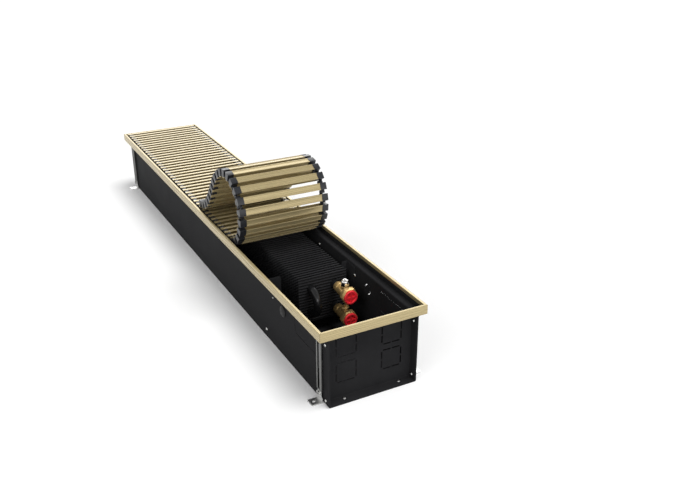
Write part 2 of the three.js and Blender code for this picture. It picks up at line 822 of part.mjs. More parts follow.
place('heat_exchanger', heatExchanger(), matteBlack);
const nearBend = tubeBend(tubeGapZ, AXIS_Y.clone().negate(), AXIS_Z);
const farBend = tubeBend(tubeGapX, AXIS_Y, AXIS_X);
place('return_bend_near', nearBend, matteBlack, tubeColumns[0], exchangerNear - clearance, tubeRows[0]);
place('return_bend_far_lower', farBend, matteBlack, tubeColumns[0], exchangerFar + clearance, tubeRows[0]);
place('return_bend_far_upper', farBend, matteBlack, tubeColumns[0], exchangerFar + clearance, tubeRows[1]);

const bracketOffset = exchangerNear - bracketBeforeFin;
const nearBracketY = bracketOffset + bracketNearFin * finStep;
const farBracketY = bracketOffset + (finCount - 1 - bracketFarFin) * finStep;
place('exchanger_bracket_near', exchangerBracket(), blackPaint, 0, nearBracketY);
place('exchanger_bracket_far', exchangerBracket(), blackPaint, 0, farBracketY);

for (const [level, z] of [['lower', tubeRows[0]], ['upper', tubeRows[1]]]) {
  const x = tubeColumns[1];
  place(`fitting_${level}`, brassFitting().rotateZ(Math.PI), brass, x, fittingStart, z);
  place(`union_nut_${level}`, unionNut().rotateZ(Math.PI), brass, x, nutStart, z);
  place(`transport_cap_${level}`, transportCap().rotateZ(Math.PI), redPlastic, x, nutStart, z);
}

const portTop = portHeight + clearance - portSeat.depth;
const bleedZ = tubeRows[1] + portTop + ventTop + bleedScrew.proud - bleedScrew.length + clearance;
place('air_vent', airVent(), nickel, tubeColumns[1], portY, tubeRows[1] + portTop);
place('bleed_screw', bleedScrewBody(), nickel, tubeColumns[1], portY, bleedZ);
place('blanking_plug', blankingPlug(), brass, tubeColumns[1], portY, tubeRows[0] + portTop);
place('cable_grommet', cableGrommet(), blackPlastic, 0, cableEntryY, cableEntryZ);

place('grille_flat', flatGrille(), champagne);
const roll = layRoll(bendsFor(restingBend()));
roll.forEach(({ y, z, heading }, i) => {
  const number = String(i + 1).padStart(2, '0');
  place(`grille_slat_${number}`, rolledSlat(i < rolledCount - 1), champagne, 0, y, z, -heading);
});

export default heater;
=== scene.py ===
# Trench convector heater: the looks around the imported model. Lengths in the tables below are in
# millimetres, in the model's own frame, and become metres when a mesh is made.
import json
import math

import bmesh
import bpy
from mathutils import Matrix, Vector


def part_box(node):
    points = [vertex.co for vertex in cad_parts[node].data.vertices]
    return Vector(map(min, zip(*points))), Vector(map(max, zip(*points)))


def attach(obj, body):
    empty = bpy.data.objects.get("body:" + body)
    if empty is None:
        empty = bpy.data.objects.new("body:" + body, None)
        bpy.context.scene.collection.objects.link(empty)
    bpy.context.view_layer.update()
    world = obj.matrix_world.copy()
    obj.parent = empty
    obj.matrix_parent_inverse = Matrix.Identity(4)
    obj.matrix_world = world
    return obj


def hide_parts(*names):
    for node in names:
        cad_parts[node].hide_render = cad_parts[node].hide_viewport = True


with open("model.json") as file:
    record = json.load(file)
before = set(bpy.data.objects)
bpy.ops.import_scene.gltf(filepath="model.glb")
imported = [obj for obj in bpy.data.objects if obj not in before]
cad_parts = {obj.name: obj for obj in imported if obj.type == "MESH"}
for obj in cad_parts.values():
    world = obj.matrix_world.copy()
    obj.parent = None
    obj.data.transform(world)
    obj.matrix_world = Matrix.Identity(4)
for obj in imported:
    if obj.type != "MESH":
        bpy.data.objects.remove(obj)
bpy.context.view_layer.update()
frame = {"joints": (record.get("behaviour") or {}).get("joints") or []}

MM = 0.001

# ---- Sizes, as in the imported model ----

CLEAR = 0.3
MITRE = 0.3
SHEET = 1.2
BEND = 1.6
HALF_WIDTH, HALF_LENGTH, HEIGHT = 102.5, 600.0, 150.0
FRAME_FACE, FRAME_WALL, FRAME_LIP, LEG_DEPTH, LEG_WALL = 17.0, 1.5, 5.0, 7.0, 1.2
LEDGE_TOP, LEDGE_BOTTOM = 133.0, 131.8
WALL_OUTER, WALL_INNER = 86.2, 85.0
STRIP_OUTER, STRIP_TOP = 100.7, 148.2
TROUGH_END, PLATE_OUTER, PANEL_HALF = 598.2, 580.2, 84.7
GRILLE_HALF, PITCH = 94.0, 19.0
PIVOT_Z = 146.3
FIRST_PIVOT_Y, FLAT_COUNT = -180.5, 41
PIVOT_HEIGHT = 13.0
EXCHANGER_X, EXCHANGER_Z = (-29.0, 72.0), (25.0, 121.0)
EXCHANGER_Y = (-364.0, 530.0)
TUBE_X, TUBE_Z = (-3.5, 46.5), (49.0, 97.0)
TUBE_RADIUS = 8.0
FITTING_START, NUT_START, PORT_Y = -378.0, -416.6, -407.0
NUT_LENGTH = 12.0
FOOT_Y, BOLT_Z, BOLT_HOLE_RADIUS, GUIDE_BOTTOM = 570.0, 18.0, 3.2, 24.0
ENTRY_Y, ENTRY_Z, ENTRY_RADIUS = -420.0, 98.0, 8.0
# knock-outs: in the walls near the connections, and two by two in each end panel
SIDE_KNOCK_Y, SIDE_KNOCK_Z = (-552.0, -469.0), (80.0, 120.0)
ROUND_KNOCK_Y, ROUND_KNOCK_Z, ROUND_KNOCK_RADIUS = -425.0, 102.0, 10.5
ROUND_KNOCK_BRIDGE, ROUND_KNOCK_SLOT = 0.15, 2.0
PANEL_KNOCK_X, PANEL_KNOCK_TOPS = (-44.3, 44.3), (122.2, 72.2)
PANEL_KNOCK_HALF, PANEL_KNOCK_HEIGHT, PANEL_KNOCK_SLOT = 20.5, 40.5, 2.8


# ---- Meshes ----

class Form:
    """Closed shells, gathered for one mesh."""

    def __init__(self, *parts):
        self.points = []
        self.faces = []
        for part in parts:
            self.add(part)

    def add(self, part, matrix=None):
        points, faces = part if isinstance(part, tuple) else (part.points, part.faces)
        start = len(self.points)
        for p in points:
            self.points.append(tuple(matrix @ Vector(p)) if matrix else tuple(p))
        self.faces += [[start + i for i in face] for face in faces]
        return self


def move(x=0.0, y=0.0, z=0.0):
    return Matrix.Translation((x, y, z))


def spin(degrees, axis):
    return Matrix.Rotation(math.radians(degrees), 4, axis)


FACING_NEAR = spin(90, "X")


def rounded(points, radius, steps=4):
    """A closed outline with its corners rounded, by one radius or one for each corner."""
    count = len(points)
    radii = radius if isinstance(radius, (list, tuple)) else [radius] * count
    out = []
    for i, (point, r) in enumerate(zip(points, radii)):
        corner = Vector(point)
        back = Vector(points[i - 1]) - corner
        ahead = Vector(points[(i + 1) % count]) - corner
        if r <= 0:
            out.append(tuple(corner))
            continue
        half = back.angle(ahead) / 2
        run = min(r / math.tan(half), back.length * 0.49, ahead.length * 0.49)
        r = run * math.tan(half)
        back.normalize()
        ahead.normalize()
        centre = corner + (back + ahead).normalized() * (r / math.sin(half))
        start = corner + back * run - centre
        end = corner + ahead * run - centre
        first = math.atan2(start.y, start.x)
        turn = (math.atan2(end.y, end.x) - first + math.pi) % (2 * math.pi) - math.pi
        for k in range(steps + 1):
            angle = first + turn * k / steps
            out.append((centre.x + r * math.cos(angle), centre.y + r * math.sin(angle)))
    return out


SPREAD = {
    "x": lambda u, v, d: (d, u, v),
    "y": lambda u, v, d: (u, d, v),
    "z": lambda u, v, d: (u, v, d),
}


def prism(outline, axis, a, b):
    spread = SPREAD[axis]
    n = len(outline)
    points = [spread(u, v, a) for u, v in outline] + [spread(u, v, b) for u, v in outline]
    faces = [[i, (i + 1) % n, n + (i + 1) % n, n + i] for i in range(n)]
    faces += [list(range(n))[::-1], list(range(n, 2 * n))]
    return points, faces


def block(x, y, z):
    return prism([(x[0], y[0]), (x[1], y[0]), (x[1], y[1]), (x[0], y[1])], "z", z[0], z[1])


def ring(radius, sides, u=0.0, v=0.0, start=0.0):
    step = 2 * math.pi / sides
    return [(u + radius * math.cos(start + k * step), v + radius * math.sin(start + k * step))
            for k in range(sides)]


def turned(profile, sides=40):
    """A closed turned shell from (radius, distance) points, about +Z."""
    points, faces, rings = [], [], []
    for radius, distance in profile:
        if radius < 1e-6:
            rings.append([len(points)])
            points.append((0.0, 0.0, distance))
            continue
        rings.append(list(range(len(points), len(points) + sides)))
        points += [(x, y, distance) for x, y in ring(radius, sides)]
    for a, b in zip(rings, rings[1:]):
        for k in range(sides):
            j = (k + 1) % sides
            face = [a[k % len(a)], a[j % len(a)], b[j % len(b)], b[k % len(b)]]
            face = [v for i, v in enumerate(face) if v not in face[:i]]
            if len(face) > 2:
                faces.append(face)
    return points, faces


def swept(path, radius, sides=28):
    """A round tube along a path."""
    path = [Vector(p) for p in path]
    points, faces = [], []
    side = None
    for i, p in enumerate(path):
        ahead = (path[min(i + 1, len(path) - 1)] - path[max(i - 1, 0)]).normalized()
        if side is None:
            side = ahead.orthogonal().normalized()
        side = (side - ahead * side.dot(ahead)).normalized()
        up = ahead.cross(side)
        for u, v in ring(radius, sides):
            points.append(tuple(p + side * u + up * v))
    for i in range(len(path) - 1):
        for k in range(sides):
            j = (k + 1) % sides
            a = i * sides
            faces.append([a + k, a + j, a + sides + j, a + sides + k])
    last = (len(path) - 1) * sides
    faces += [list(range(sides))[::-1], list(range(last, last + sides))]
    return points, faces


def object_of(name, form):
    mesh = bpy.data.meshes.new(name)
    mesh.from_pydata([(x * MM, y * MM, z * MM) for x, y, z in form.points], [], form.faces)
    work = bmesh.new()
    work.from_mesh(mesh)
    bmesh.ops.recalc_face_normals(work, faces=work.faces)
    work.to_mesh(mesh)
    work.free()
    obj = bpy.data.objects.new(name, mesh)
    bpy.context.scene.collection.objects.link(obj)
    return obj


def settle(obj):
    """Applies the object's modifiers to its mesh."""
    graph = bpy.context.evaluated_depsgraph_get()
    mesh = bpy.data.meshes.new_from_object(obj.evaluated_get(graph))
    mesh.name = obj.name
    obj.modifiers.clear()
    obj.data = mesh


def combine(obj, form, operation):
    tool = object_of("tool", form)
    modifier = obj.modifiers.new("combine", "BOOLEAN")
    modifier.object = tool
    modifier.operation = operation
    modifier.solver = "EXACT"
    settle(obj)
    bpy.data.objects.remove(tool)


def shade(obj, material, angle=35.0):
    """Smooth shading with the edges past an angle kept sharp, and one material."""
    for polygon in obj.data.polygons:
        polygon.use_smooth = True
    obj.data.set_sharp_from_angle(angle=math.radians(angle))
    obj.data.materials.clear()
    obj.data.materials.append(material)


def mesh_of(obj):
    """The object's mesh alone, for several objects to share."""
    mesh = obj.data
    bpy.data.objects.remove(obj)
    return mesh


def piece(name, form, material, body="root", nodes=(), joined=(), cut=None, common=None,
          bevel=0.0, smooth=35.0, matrix=None):
    """One piece of the visual model: its shells, cut and bevelled, on its body."""
    obj = object_of(name, form)
    for extra in joined:
        combine(obj, extra, "UNION")
    if common:
        combine(obj, common, "INTERSECT")
    if cut:
        combine(obj, cut, "DIFFERENCE")
    if bevel:
        modifier = obj.modifiers.new("bevel", "BEVEL")
        modifier.width = bevel * MM
        modifier.segments = 2
        modifier.limit_method = "ANGLE"
        modifier.angle_limit = math.radians(40)
        settle(obj)
    shade(obj, material, smooth)
    return dress(obj, body, nodes, matrix)


def dress(obj, body, nodes=(), matrix=None):
    if matrix:
        obj.matrix_world = matrix
    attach(obj, body)
    if nodes:
        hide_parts(*nodes)
    return obj


# ---- Materials ----

class Finish:
    """A material on one Principled shader, with a few node helpers."""

    def __init__(self, name, colour, roughness, metallic=0.0, specular=0.5):
        self.material = bpy.data.materials.new(name)
        self.material.use_nodes = True
        self.tree = self.material.node_tree
        self.shader = self.tree.nodes["Principled BSDF"]
        self.coordinates = self.node("ShaderNodeTexCoord")
        inputs = self.shader.inputs
        inputs["Base Color"].default_value = (*colour, 1)
        inputs["Roughness"].default_value = roughness
        inputs["Metallic"].default_value = metallic
        inputs["Specular IOR Level"].default_value = specular
        self.height = None

    def node(self, kind, **settings):
        made = self.tree.nodes.new(kind)
        for key, value in settings.items():
            setattr(made, key, value)
        return made

    def link(self, a, b):
        self.tree.links.new(a, b)

    def place(self, stretch):
        mapping = self.node("ShaderNodeMapping")
        mapping.inputs["Scale"].default_value = stretch
        self.link(self.coordinates.outputs["Object"], mapping.inputs["Vector"])
        return mapping.outputs["Vector"]

    def noise(self, stretch, detail=2.0, rough=0.5):
        made = self.node("ShaderNodeTexNoise")
        made.inputs["Scale"].default_value = 1.0
        made.inputs["Detail"].default_value = detail
        made.inputs["Roughness"].default_value = rough
        self.link(self.place(stretch), made.inputs["Vector"])
        return made.outputs["Fac"]

    def ramp(self, value, stops):
        made = self.node("ShaderNodeValToRGB")
        elements = made.color_ramp.elements
        while len(elements) < len(stops):
            elements.new(0.5)
        for element, (position, colour) in zip(elements, stops):
            element.position = position
            element.color = (*colour, 1) if isinstance(colour, tuple) else (colour,) * 3 + (1,)
        self.link(value, made.inputs["Fac"])
        return made.outputs["Color"]

    def colour(self, value, stops):
        self.link(self.ramp(value, stops), self.shader.inputs["Base Color"])
        return self

    def roughness(self, value, stops):
        self.link(self.ramp(value, stops), self.shader.inputs["Roughness"])
        return self

    def bump(self, value, depth, strength=1.0):
        """Adds relief: depth is in millimetres."""
        made = self.node("ShaderNodeBump")
        made.inputs["Distance"].default_value = depth * MM
        made.inputs["Strength"].default_value = strength
        self.link(value, made.inputs["Height"])
        if self.height:
            self.link(self.height, made.inputs["Normal"])
        self.height = made.outputs["Normal"]
        self.link(self.height, self.shader.inputs["Normal"])
        return self


def shades(colour, low, high):
    return (0.25, tuple(c * low for c in colour)), (0.75, tuple(c * high for c in colour))


def anodised(name, along):
    """Champagne anodised aluminium with its drawing lines along one axis."""
    def grain(fine, coarse):
        return tuple(coarse if axis == along else fine for axis in "xyz")

    colour = (0.46, 0.374, 0.197)
    finish = Finish(name, colour, 0.3, metallic=0.45)
    finish.colour(finish.noise(grain(700, 6), 3), shades(colour, 0.96, 1.03))
    finish.roughness(finish.noise(grain(900, 12), 2), ((0.3, 0.24), (0.7, 0.33)))
    finish.bump(finish.noise(grain(1500, 10), 2), 0.006, 0.4)
    return finish.material


def zinc_with_painted_shade(name, painted_shade_from):
    """Zinc with painted shade: bright below a height above the floor and dark above it, standing in for
    the shade inside the guide.
    """
    bright, dark, change = (0.66, 0.66, 0.65), (0.03, 0.03, 0.03), 3.0
    finish = Finish(name, bright, 0.38, metallic=1.0)
    parts = finish.node("ShaderNodeSeparateXYZ")
    finish.link(finish.coordinates.outputs["Object"], parts.inputs["Vector"])
    # painted shade: the ramp turns the zinc dark above the guide's bottom, where the leg stands in the
    # channel's shade
    finish.colour(parts.outputs["Z"], (((painted_shade_from - change) * MM, bright), (painted_shade_from * MM, dark)))
    finish.bump(finish.noise((500, 500, 500), 2), 0.02, 0.3)
    return finish.material


def powder_coat(name, base, roughness, specular):
    tone = (base, base, base * 1.06)
    finish = Finish(name, tone, roughness, specular=specular)
    wear = finish.noise((14, 14, 14), 4, 0.6)
    finish.colour(wear, shades(tone, 0.85, 1.2))
    finish.roughness(wear, ((0.3, roughness - 0.05), (0.7, roughness + 0.07)))
    finish.bump(finish.noise((850, 850, 850), 2), 0.05, 0.35)
    return finish.material


def plain_plastic(name, colour, roughness, relief, specular=0.5):
    finish = Finish(name, colour, roughness, specular=specular)
    finish.colour(finish.noise((60, 60, 60), 3), shades(colour, 0.88, 1.1))
    finish.roughness(finish.noise((220, 220, 220), 2), ((0.3, roughness - 0.06), (0.7, roughness + 0.08)))
    finish.bump(finish.noise((1400, 1400, 1400), 2), relief, 0.5)
    return finish.material


def machined(name, colour, roughness, metallic=1.0):
    finish = Finish(name, colour, roughness, metallic=metallic)
    finish.colour(finish.noise((60, 60, 60), 2), shades(colour, 0.93, 1.04))
    finish.roughness(finish.noise((120, 120, 120), 2), ((0.3, roughness - 0.03), (0.7, roughness + 0.05)))
    finish.bump(finish.noise((15, 900, 15), 1), 0.004, 0.3)
    return finish.material


ALONG_X = anodised("anodised_across", "x")
ALONG_Y = anodised("anodised_along", "y")
BLACK = powder_coat("black_powder_coat", 0.0195, 0.48, 0.012)
LACQUER = powder_coat("black_lacquer", 0.021, 0.42, 0.12)
LACQUERED_TUBE = powder_coat("black_lacquered_tube", 0.01, 0.28, 0.5)
LINK_PLASTIC = plain_plastic("black_link_plastic", (0.016, 0.017, 0.02), 0.33, 0.03)
RED = plain_plastic("red_cap_plastic", (0.9, 0.03, 0.045), 0.34, 0.01)
RUBBER = plain_plastic("black_rubber", (0.012, 0.012, 0.012), 0.6, 0.05, 0.35)
BRASS = machined("turned_brass", (0.78, 0.53, 0.22), 0.34, 0.8)
NICKEL = machined("nickel_plate", (0.8, 0.78, 0.74), 0.14)
ZINC = machined("zinc_screws", (0.72, 0.72, 0.7), 0.25)
# the feet's zinc, with shade painted dark on the part of the leg inside the guide
LEG_ZINC_PAINTED_SHADE = zinc_with_painted_shade("zinc_leg_painted_shade", GUIDE_BOTTOM)
GUIDE_STEEL = machined("dull_guide_steel", (0.2, 0.2, 0.195), 0.4)


# ---- Frame ----

def rail_form(across, along):
    face = HEIGHT - FRAME_FACE
    leg = HEIGHT - LEG_DEPTH
    under = HEIGHT - FRAME_WALL
    outline = rounded([
        (0, face), (-FRAME_WALL, face), (-FRAME_WALL, under), (-FRAME_LIP + LEG_WALL, under),
        (-FRAME_LIP + LEG_WALL, leg), (-FRAME_LIP, leg), (-FRAME_LIP, HEIGHT), (0, HEIGHT),
    ], [0.4, 0.4, 0.6, 0.6, 0.3, 0.3, 0.6, 0.9])
    points = [(across + offset, side * (along + offset - MITRE), z)
              for side in (-1, 1) for offset, z in outline]
    faces = prism(outline, "y", 0, 1)[1]
    return Form((points, faces))


for name, turn, across, along, material in (
    ("right", 0, HALF_WIDTH, HALF_LENGTH, ALONG_Y), ("left", 180, HALF_WIDTH, HALF_LENGTH, ALONG_Y),
    ("far", 90, HALF_LENGTH, HALF_WIDTH, ALONG_X), ("near", -90, HALF_LENGTH, HALF_WIDTH, ALONG_X),
):
    form = Form().add(rail_form(across, along), spin(turn, "Z"))
    piece(f"rail_{name}", form, material, nodes=[f"frame_rail_{name}"])


# ---- Trough ----

def slots(u, v, width=1.3, bridge=5.0):
    """Four slots round a knock-out, with bridges at its corners and a bridge in each long side."""
    (u0, u1), (v0, v1) = u, v
    inset = width + bridge / 4
    middle = (v0 + v1) / 2
    centre = (u0 + u1) / 2
    spans = []
    for a, b in ((u0 + inset, centre - bridge / 4), (centre + bridge / 4, u1 - inset)):
        spans += [((a, b), (v0, v0 + width)), ((a, b), (v1 - width, v1))]
    for a, b in ((v0 + inset, middle - bridge / 4), (middle + bridge / 4, v1 - inset)):
        spans += [((u0, u0 + width), (a, b)), ((u1 - width, u1), (a, b))]
    return spans


def arc(u, v, radius, start, sweep, steps):
    """Points along an arc, its two ends among them."""
    angles = [start + sweep * k / steps for k in range(steps + 1)]
    return [(u + radius * math.cos(a), v + radius * math.sin(a)) for a in angles]


def arc_slot(u, v, radius, width, start, sweep, steps=20):
    return arc(u, v, radius, start, sweep, steps) + arc(u, v, radius - width, start, sweep, steps)[::-1]


def trough_form():
    half = [(WALL_OUTER, 0), (WALL_OUTER, LEDGE_BOTTOM), (STRIP_OUTER, LEDGE_BOTTOM),
            (STRIP_OUTER, LEDGE_TOP), (WALL_INNER, LEDGE_TOP), (WALL_INNER, SHEET)]
    radii = [BEND + SHEET, BEND, 0.3, 0.3, BEND + SHEET, BEND]
    outline = half + [(-x, z) for x, z in reversed(half)]
    return Form(prism(rounded(outline, radii + radii[::-1], 6), "y", -TROUGH_END, TROUGH_END))


def trough_cuts():
    walls = ((-WALL_OUTER - 2, -WALL_INNER + 2), (WALL_INNER - 2, WALL_OUTER + 2))
    form = Form()
    for wall in walls:
        for y_span, z_span in slots(SIDE_KNOCK_Y, SIDE_KNOCK_Z):
            form.add(block(wall, y_span, z_span))
        for y in (-FOOT_Y, FOOT_Y):
            form.add(prism(ring(BOLT_HOLE_RADIUS, 24, y, BOLT_Z), "x", *wall))
    for quarter in (math.pi / 2, -math.pi / 2):
        outline = arc_slot(ROUND_KNOCK_Y, ROUND_KNOCK_Z, ROUND_KNOCK_RADIUS, ROUND_KNOCK_SLOT,
                           quarter + ROUND_KNOCK_BRIDGE, math.pi - 2 * ROUND_KNOCK_BRIDGE)
        form.add(prism(outline, "x", *walls[1]))
    form.add(prism(ring(ENTRY_RADIUS, 32, ENTRY_Y, ENTRY_Z), "x", *walls[0]))
    return form


piece("trough_sheet", trough_form(), BLACK, nodes=["trough"], cut=trough_cuts())
for side, turn in (("right", 0), ("left", 180)):
    strip = prism(rounded([
        (STRIP_OUTER - SHEET, LEDGE_TOP + CLEAR), (STRIP_OUTER, LEDGE_TOP + CLEAR),
        (STRIP_OUTER, STRIP_TOP), (STRIP_OUTER - SHEET, STRIP_TOP)], [0.2, 0.2, 0.5, 0.5]),
        "y", -TROUGH_END, TROUGH_END)
    form = Form().add(strip, spin(turn, "Z"))
    piece(f"upstand_{side}", form, BLACK, nodes=[f"edge_strip_{side}"])


def end_panel(end, turn):
    """A plate with a flange outwards on each side, and the end of the ledge folded up."""
    floor = SHEET + CLEAR
    inner = PLATE_OUTER - SHEET
    outline = [
        (-TROUGH_END, floor), (-inner, floor), (-inner, LEDGE_TOP), (-TROUGH_END + SHEET, LEDGE_TOP),
        (-TROUGH_END + SHEET, STRIP_TOP), (-TROUGH_END, STRIP_TOP), (-TROUGH_END, LEDGE_BOTTOM),
        (-PLATE_OUTER, LEDGE_BOTTOM), (-PLATE_OUTER, floor + SHEET), (-TROUGH_END, floor + SHEET)]
    radii = [0.3, BEND + SHEET, BEND + SHEET, BEND, 0.4, 0.4, BEND + SHEET, BEND, BEND, 0.3]
    folded = Form().add(prism(rounded(outline, radii, 5), "x", -PANEL_HALF, PANEL_HALF), spin(turn, "Z"))
    sides = []
    for side in (-1, 1):
        across = sorted((side * PANEL_HALF, side * (PANEL_HALF - SHEET)))
        plate = prism([(-TROUGH_END, floor), (-inner - 0.1, floor), (-inner - 0.1, LEDGE_TOP - 0.4),
                       (-TROUGH_END, LEDGE_TOP - 0.4)], "x", *across)
        sides.append(Form().add(plate, spin(turn, "Z")))
    cuts = Form()
    for column in PANEL_KNOCK_X:
        for top in PANEL_KNOCK_TOPS:
            width = (column - PANEL_KNOCK_HALF, column + PANEL_KNOCK_HALF)
            for x, z in slots(width, (top - PANEL_KNOCK_HEIGHT, top), PANEL_KNOCK_SLOT):
                cuts.add(block(x, (-PLATE_OUTER - 1, -inner + 1), z), spin(turn, "Z"))
    piece(f"panel_{end}", folded, BLACK, nodes=[f"end_panel_{end}"],
          joined=sides, cut=cuts)


end_panel("near", 0)
end_panel("far", 180)


# ---- Screws ----

def pan_head(radius=3.2, height=2.2):
    """A pan head on +Z, from Z = 0, without its cross recess."""
    outline = [(0, 0), (radius, 0), (radius, height * 0.45), (radius * 0.62, height), (0, height)]
    return Form(turned(rounded(outline, [0, 0, 0.8, 0.8, 0], 4), 28))


def screw_mesh(height=2.2):
    obj = object_of("screw", pan_head(height=height))
    long_side, short_side, depth = (-1.9, 1.9), (-0.35, 0.35), (height - 1.0, height + 1)
    combine(obj, Form(block(long_side, short_side, depth)), "DIFFERENCE")
    combine(obj, Form(block(short_side, long_side, depth)), "DIFFERENCE")
    shade(obj, ZINC)
    return mesh_of(obj)


SCREW = screw_mesh()


def screw(name, at, matrix, size=1.0):
    obj = bpy.data.objects.new(name, SCREW)
    bpy.context.scene.collection.objects.link(obj)
    place = Matrix.Translation([c * MM for c in at]) @ matrix @ Matrix.Scale(size, 4)
    return dress(obj, "root", matrix=place)


TO_LEFT, TO_RIGHT, UP = spin(-90, "Y"), spin(90, "Y"), Matrix.Identity(4)
FLANGE_SCREW_Y = 587.0
for end, y in (("near", -FLANGE_SCREW_Y), ("far", FLANGE_SCREW_Y)):
    for i, x in enumerate((-51.5, 56.5)):
        screw(f"screw_{end}_foot_{i}", (x, y, 2.7), UP)
    for i, z in enumerate((9.5, 118.5)):
        screw(f"screw_{end}_right_{i}", (PANEL_HALF - SHEET, y, z), TO_LEFT)
        screw(f"screw_{end}_left_{i}", (-PANEL_HALF + SHEET, y, z), TO_RIGHT)
        screw(f"stud_{end}_left_{i}", (-WALL_OUTER, y, z), TO_LEFT, 0.8)
        screw(f"stud_{end}_right_{i}", (WALL_OUTER, y, z), TO_RIGHT, 0.8)
for i, (sunk, y, z) in enumerate(((0, -376, 110), (1.5, -342, 112), (0, -224, 114))):
    screw(f"screw_wall_right_{i}", (WALL_INNER - sunk, y, z), TO_LEFT, 1.15)
screw("screw_wall_left_0", (-WALL_OUTER, -339, 19), TO_LEFT, 0.9)
screw("screw_wall_left_1", (-WALL_OUTER, -375, 104), TO_LEFT, 0.45)


# ---- Levelling feet ----

def foot_channel():
    inner, outer = WALL_OUTER + CLEAR, WALL_OUTER + CLEAR + 5
    outline = [(inner, -8), (outer, -8), (outer, -3.5), (outer - SHEET, -3.5), (outer - SHEET, -8 + SHEET),
               (inner + SHEET, -8 + SHEET), (inner + SHEET, 8 - SHEET), (outer - SHEET, 8 - SHEET),
               (outer - SHEET, 3.5), (outer, 3.5), (outer, 8), (inner, 8)]
    radii = [1.4, 1.4, 0.3, 0.3, 0.5, 0.4, 0.4, 0.5, 0.3, 0.3, 1.4, 1.4]
    return prism(rounded(outline, radii), "z", GUIDE_BOTTOM, LEDGE_BOTTOM - CLEAR)


LEG_INNER, LEG_OUTER, LEG_TOP, LEG_HALF = 88.0, 90.0, 112.0, 6.0
FOOT_TIP, PLATE_HALF, PLATE_THICK = 108.5, 9.5, 2.0
SLOT_RADIUS, SLOT_TOP, FIXING_RADIUS, FIXING_INSET = 2.9, 63.0, 2.75, 7.8


def foot_leg():
    outline = [(-PLATE_HALF, 0), (PLATE_HALF, 0), (PLATE_HALF, 8), (LEG_HALF, 12), (LEG_HALF, LEG_TOP),
               (-LEG_HALF, LEG_TOP), (-LEG_HALF, 12), (-PLATE_HALF, 8)]
    return Form(prism(rounded(outline, [0, 0, 1.5, 1.5, 2, 2, 1.5, 1.5]), "x", LEG_INNER, LEG_OUTER))


def foot_plate():
    outline = [(LEG_INNER, -PLATE_HALF), (FOOT_TIP, -PLATE_HALF),
               (FOOT_TIP, PLATE_HALF), (LEG_INNER, PLATE_HALF)]
    return Form(prism(rounded(outline, [0, 1.5, 1.5, 0]), "z", 0, PLATE_THICK))


def foot_cuts():
    slot = [(u, v + (SLOT_TOP if k <= 16 else BOLT_Z)) for k, (u, v) in enumerate(ring(SLOT_RADIUS, 32))]
    return Form(prism(slot, "x", LEG_INNER - 2, LEG_OUTER + 2),
                prism(ring(FIXING_RADIUS, 24, FOOT_TIP - FIXING_INSET, 0), "z", -2, PLATE_THICK + 2))


def foot_bolt():
    """The clamp bolt's washer and shank along +X, and where its head starts."""
    outer, thick, shank = LEG_OUTER + CLEAR, 1.0, 12.0
    washer = turned(rounded([(0, 0), (5.5, 0), (5.5, thick), (0, thick)], [0, 0.3, 0.3, 0]), 32)
    form = Form().add(washer, move(outer, 0, BOLT_Z) @ spin(90, "Y"))
    form.add(turned([(0, 0), (2.6, 0), (2.6, shank), (0, shank)], 24),
             move(WALL_INNER - CLEAR - 3, 0, BOLT_Z) @ spin(90, "Y"))
    return form, outer + thick


def hexagon(radius, height, crown=0.88):
    """A hexagon prism with its top corners turned off, as a common volume of two shells."""
    shoulder = height - (1 - crown) * radius * 0.8
    return (prism(ring(radius, 6), "z", 0, height),
            turned([(0, -1), (radius * 1.01, -1), (radius * 1.01, shoulder),
                    (radius * crown, height), (0, height)], 48))


for end, y in (("near", -FOOT_Y), ("far", FOOT_Y)):
    for side, turn in (("left", 180), ("right", 0)):
        where = move(0, y, 0) @ spin(turn, "Z")
        tag = f"{end}_{side}"
        channel = Form().add(foot_channel(), where)
        piece(f"channel_{tag}", channel, GUIDE_STEEL, nodes=[f"foot_rail_{tag}"])
        leg, plate, holes = (Form().add(part, where) for part in (foot_leg(), foot_plate(), foot_cuts()))
        piece(f"foot_{tag}", leg, LEG_ZINC_PAINTED_SHADE, body=f"foot_{tag}", nodes=[f"foot_bracket_{tag}"],
              joined=[plate], cut=holes, bevel=0.3)
        bolt, start = foot_bolt()
        piece(f"bolt_{tag}", Form().add(bolt, where), ZINC, nodes=[f"foot_bolt_{tag}"])
        for part, x, flip in (("head", start, 90), ("nut", WALL_INNER - CLEAR, -90)):
            at = where @ move(x, 0, BOLT_Z) @ spin(flip, "Y")
            sides, crown = (Form().add(shell, at) for shell in hexagon(4.6, 2.4))
            piece(f"bolt_{part}_{tag}", sides, ZINC, common=crown)


# ---- Heat exchanger ----

def fin(y, wave, thickness, rows=16, steps=6):
    """One pressed fin: its face runs in shallow waves from bottom to top."""
    (x0, x1), (z0, z1) = EXCHANGER_X, EXCHANGER_Z
    count = rows * steps
    points, faces = [], []
    for k in range(count + 1):
        z = z0 + (z1 - z0) * k / count
        shift = wave * math.sin(2 * math.pi * k / steps)
        for x, dy in ((x0, 0), (x1, 0), (x1, thickness), (x0, thickness)):
            points.append((x, y + shift + dy, z))
    for k in range(count):
        a = 4 * k
        for i in range(4):
            j = (i + 1) % 4
            faces.append([a + i, a + j, a + 4 + j, a + 4 + i])
    last = 4 * count
    faces += [[3, 2, 1, 0], [last, last + 1, last + 2, last + 3]]
    return points, faces


def exchanger_form():
    near, far = EXCHANGER_Y
    wave, thickness, count = 1.2, 0.8, 100
    first, last = near + wave + 0.1, far - wave - thickness - 0.1
    form = Form()
    for i in range(count):
        form.add(fin(first + (last - first) * i / (count - 1), wave, thickness))
    return form


